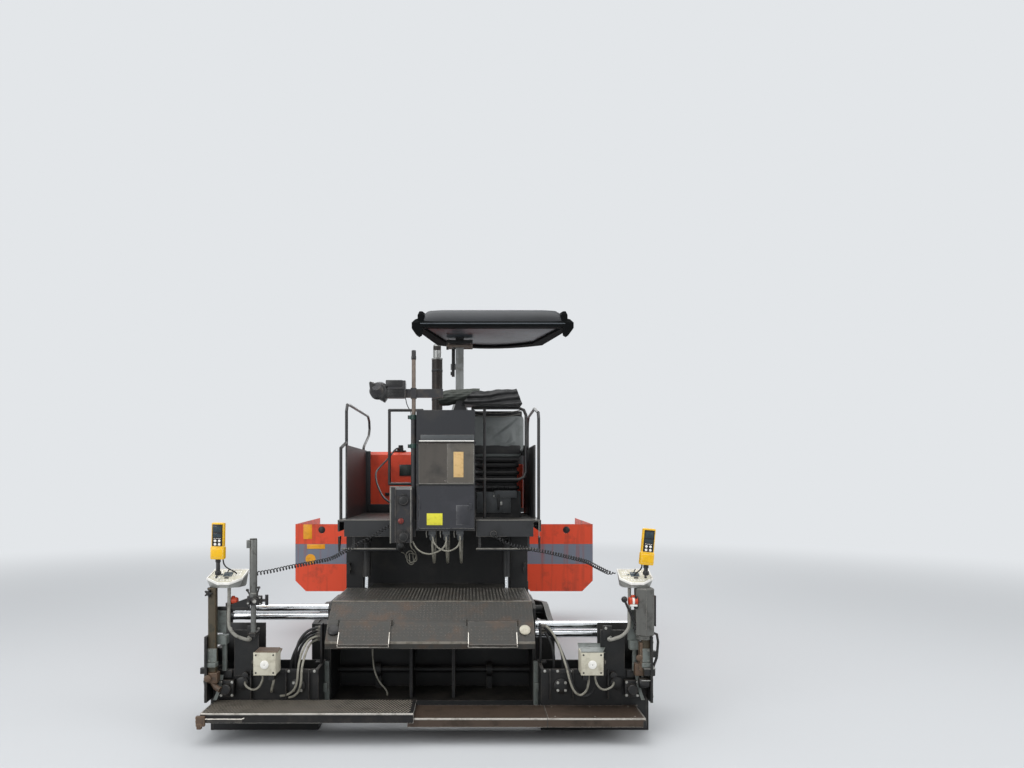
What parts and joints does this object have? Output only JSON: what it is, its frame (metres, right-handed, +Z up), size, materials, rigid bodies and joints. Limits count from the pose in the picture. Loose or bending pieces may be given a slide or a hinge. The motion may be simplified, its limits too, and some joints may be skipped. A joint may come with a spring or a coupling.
{
  "type": "compact crawler asphalt paver",
  "caption": "Tracked road paver with folding hopper, conveyor, augers and an extending, lifting screed with footboards and control stands",
  "frame": {"origin": "on the ground, midway along the machine and on its centre plane", "axes": "+X to the right, +Y forwards in the working direction, +Z up"},
  "size_m": [3.1, 4.95, 3.01],
  "materials": {
    "frame_black": "black paint dulled by asphalt dust",
    "track_rubber": "steel shoes with black rubber pads",
    "undercarriage": "black paint, dusty",
    "engine_iron": "plain casting",
    "hood_red": "orange-red enamel, faded",
    "exhaust_steel": "heat-stained pipe",
    "worn_steel": "worn bright on the edges",
    "deck_grey": "dark paint, worn at the edges",
    "rail_black": "black paint",
    "seat_vinyl": "grey vinyl",
    "bellows_rubber": "black moulded bellows",
    "console_plastic": "grained moulding",
    "tarp_fabric": "folded black tarpaulin",
    "cabinet_brown": "dark brown-grey paint",
    "lid_brown": "brown-grey steel, rubbed",
    "mast_dark": "dark paint",
    "mast_grey": "light grey paint",
    "canopy_plastic": "black moulded shell",
    "cable_rubber": "black cable jacket",
    "auger_steel": "worn hard casting",
    "cylinder_yellow": "yellow paint",
    "cylinder_grey": "grey paint",
    "chrome_rod": "hard chrome",
    "screed_black": "black paint caked with asphalt",
    "tread_steel": "checker plate, worn and rusty",
    "board_black": "black tread plate",
    "board_rust": "brown worn tread plate",
    "panel_silver": "silver housing",
    "handset_yellow": "yellow moulded handset",
    "hose_pale": "pale corrugated conduit"
  },
  "bodies": {
    "tractor": {"chassis": "frame_black", "track_left": "track_rubber", "track_right": "track_rubber", "track_frame_left": "undercarriage", "track_frame_right": "undercarriage", "engine_block": "engine_iron", "engine_hood": "hood_red", "exhaust": "exhaust_steel", "hopper_pan": "frame_black", "conveyor": "worn_steel", "deck": "deck_grey", "handrails": "rail_black", "operator_seat": "seat_vinyl", "seat_mount": "bellows_rubber", "console": "console_plastic", "tarp": "tarp_fabric", "cabinet": "cabinet_brown", "service_mast": "mast_dark", "canopy_mast": "mast_grey", "canopy": "canopy_plastic", "cabinet_cables": "cable_rubber"},
    "cabinet_lid": {"cabinet_lid": "lid_brown"},
    "cabinet_door": {"cabinet_door": "mast_dark"},
    "auger_left": {"auger_left": "auger_steel"},
    "auger_right": {"auger_right": "auger_steel"},
    "push_beam": {"push_beam": "frame_black"},
    "push_roller_left": {"push_roller_left": "worn_steel"},
    "push_roller_right": {"push_roller_right": "worn_steel"},
    "wing_left": {"hopper_wing_left": "hood_red"},
    "wing_right": {"hopper_wing_right": "hood_red"},
    "wing_barrel_left": {"wing_barrel_left": "cylinder_yellow"},
    "wing_barrel_right": {"wing_barrel_right": "cylinder_yellow"},
    "wing_rod_left": {"wing_rod_left": "chrome_rod"},
    "wing_rod_right": {"wing_rod_right": "chrome_rod"},
    "lift_barrel_left": {"lift_barrel_left": "cylinder_grey"},
    "lift_barrel_right": {"lift_barrel_right": "cylinder_grey"},
    "lift_rod_left": {"lift_rod_left": "chrome_rod"},
    "lift_rod_right": {"lift_rod_right": "chrome_rod"},
    "screed": {"tow_arms": "frame_black", "main_screed": "screed_black", "walkway": "tread_steel", "coil_inner_left": "cable_rubber", "coil_inner_right": "cable_rubber"},
    "step_left": {"step_left": "tread_steel"},
    "step_right": {"step_right": "tread_steel"},
    "extension_left": {"extension_left": "screed_black", "guide_tubes_left": "chrome_rod", "footboard_left": "board_black", "panel_left": "panel_silver", "handset_left": "handset_yellow", "harness_left": "hose_pale", "coil_outer_left": "cable_rubber"},
    "extension_right": {"extension_right": "screed_black", "guide_tubes_right": "chrome_rod", "footboard_right": "board_rust", "panel_right": "panel_silver", "handset_right": "handset_yellow", "harness_right": "hose_pale", "coil_outer_right": "cable_rubber"}
  },
  "joints": [
    {"name": "screed_lift", "type": "hinge", "parent": "tractor", "child": "screed", "pos_m": [0, 0.35, 0.42], "axis": [-1, 0, 0], "range_deg": [0, 6], "deforming": ["coil_inner_left", "coil_inner_right"]},
    {"name": "extension_slide_left", "type": "slide", "parent": "screed", "child": "extension_left", "axis": [-1, 0, 0], "range_m": [-0.695, 0], "deforming": ["coil_outer_left"]},
    {"name": "wing_fold_left", "type": "hinge", "parent": "tractor", "child": "wing_left", "pos_m": [-0.64, 0.8, 0.6], "axis": [0, 1, 0], "range_deg": [0, 60]},
    {"name": "wing_cylinder_tilt_left", "type": "hinge", "parent": "tractor", "child": "wing_barrel_left", "pos_m": [-0.59, 1.3, 0.33], "axis": [0, 1, 0], "range_deg": [0, 41.8]},
    {"name": "wing_cylinder_stroke_left", "type": "slide", "parent": "wing_barrel_left", "child": "wing_rod_left", "axis": [-0.9162, 0, 0.4008], "range_m": [0, 0.1625]},
    {"name": "lift_cylinder_tilt_left", "type": "hinge", "parent": "tractor", "child": "lift_barrel_left", "pos_m": [-0.56, -1.03, 1.18], "axis": [1, 0, 0], "range_deg": [-1, 2]},
    {"name": "lift_cylinder_stroke_left", "type": "slide", "parent": "lift_barrel_left", "child": "lift_rod_left", "axis": [0, -0.1414, -0.9899], "range_m": [-0.156, 0]},
    {"name": "auger_spin_left", "type": "hinge", "parent": "tractor", "child": "auger_left", "pos_m": [-0.1, -1.265, 0.33], "axis": [1, 0, 0], "continuous": true},
    {"name": "push_roller_spin_left", "type": "hinge", "parent": "push_beam", "child": "push_roller_left", "pos_m": [-0.3, 2.385, 0.35], "axis": [1, 0, 0], "continuous": true},
    {"name": "step_fold_left", "type": "hinge", "parent": "screed", "child": "step_left", "pos_m": [-0.44, -2.03, 0.69], "axis": [-1, 0, 0], "range_deg": [0, 45]},
    {"name": "extension_slide_right", "type": "slide", "parent": "screed", "child": "extension_right", "axis": [1, 0, 0], "range_m": [-0.695, 0], "deforming": ["coil_outer_right"]},
    {"name": "wing_fold_right", "type": "hinge", "parent": "tractor", "child": "wing_right", "pos_m": [0.64, 0.8, 0.6], "axis": [0, -1, 0], "range_deg": [0, 60]},
    {"name": "wing_cylinder_tilt_right", "type": "hinge", "parent": "tractor", "child": "wing_barrel_right", "pos_m": [0.59, 1.3, 0.33], "axis": [0, -1, 0], "range_deg": [0, 41.8]},
    {"name": "wing_cylinder_stroke_right", "type": "slide", "parent": "wing_barrel_right", "child": "wing_rod_right", "axis": [0.9162, 0, 0.4008], "range_m": [0, 0.1625]},
    {"name": "lift_cylinder_tilt_right", "type": "hinge", "parent": "tractor", "child": "lift_barrel_right", "pos_m": [0.56, -1.03, 1.18], "axis": [1, 0, 0], "range_deg": [-1, 2]},
    {"name": "lift_cylinder_stroke_right", "type": "slide", "parent": "lift_barrel_right", "child": "lift_rod_right", "axis": [0, -0.1414, -0.9899], "range_m": [-0.156, 0]},
    {"name": "auger_spin_right", "type": "hinge", "parent": "tractor", "child": "auger_right", "pos_m": [0.1, -1.265, 0.33], "axis": [1, 0, 0], "continuous": true},
    {"name": "push_roller_spin_right", "type": "hinge", "parent": "push_beam", "child": "push_roller_right", "pos_m": [0.3, 2.385, 0.35], "axis": [1, 0, 0], "continuous": true},
    {"name": "step_fold_right", "type": "hinge", "parent": "screed", "child": "step_right", "pos_m": [0.42, -2.03, 0.69], "axis": [-1, 0, 0], "range_deg": [0, 45]},
    {"name": "push_beam_swing", "type": "hinge", "parent": "tractor", "child": "push_beam", "pos_m": [0, 2.18, 0.35], "axis": [0, 0, 1], "range_deg": [-5, 5]},
    {"name": "cabinet_lid_open", "type": "hinge", "parent": "tractor", "child": "cabinet_lid", "pos_m": [0.09, -1.327, 1.935], "axis": [-1, 0, 0], "range_deg": [0, 95]},
    {"name": "cabinet_door_open", "type": "hinge", "parent": "tractor", "child": "cabinet_door", "pos_m": [-0.136, -1.327, 1.4], "axis": [0, 0, -1], "range_deg": [0, 110]}
  ],
  "couplings": [
    {"joint": "wing_cylinder_tilt_left", "follows": "wing_fold_left", "ratio": 0.68881},
    {"joint": "wing_cylinder_stroke_left", "follows": "wing_fold_left", "m_per_rad": 0.15323},
    {"joint": "lift_cylinder_tilt_left", "follows": "screed_lift", "ratio": 0.16669},
    {"joint": "lift_cylinder_stroke_left", "follows": "screed_lift", "m_per_rad": -1.4708},
    {"joint": "wing_cylinder_tilt_right", "follows": "wing_fold_right", "ratio": 0.68881},
    {"joint": "wing_cylinder_stroke_right", "follows": "wing_fold_right", "m_per_rad": 0.15323},
    {"joint": "lift_cylinder_tilt_right", "follows": "screed_lift", "ratio": 0.16669},
    {"joint": "lift_cylinder_stroke_right", "follows": "screed_lift", "m_per_rad": -1.4708}
  ]
}
